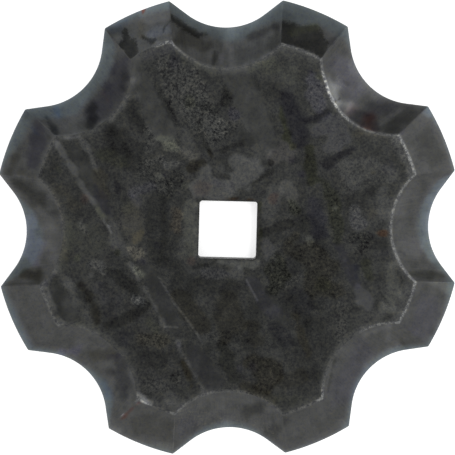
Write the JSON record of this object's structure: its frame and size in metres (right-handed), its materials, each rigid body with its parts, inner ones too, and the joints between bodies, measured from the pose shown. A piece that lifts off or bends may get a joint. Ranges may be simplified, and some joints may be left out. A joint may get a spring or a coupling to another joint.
{
  "type": "harrow disc blade",
  "caption": "Flat round steel blade with notches round its rim, a wide bevel ground on one face down to a thin cutting edge, and a square shaft hole in the middle.",
  "frame": {"origin": "on the blade's axis, at the flat back face that it lies on", "axes": "+Z along the shaft axis, up through the bevelled face; +X through the middle of one notch"},
  "size_m": [0.323, 0.323, 0.012],
  "materials": {
    "forged_steel": "dark rolled and hardened scale on both faces, ground bevel with a blued edge"
  },
  "bodies": {
    "root": {"disc_blade": "forged_steel"}
  },
  "joints": []
}
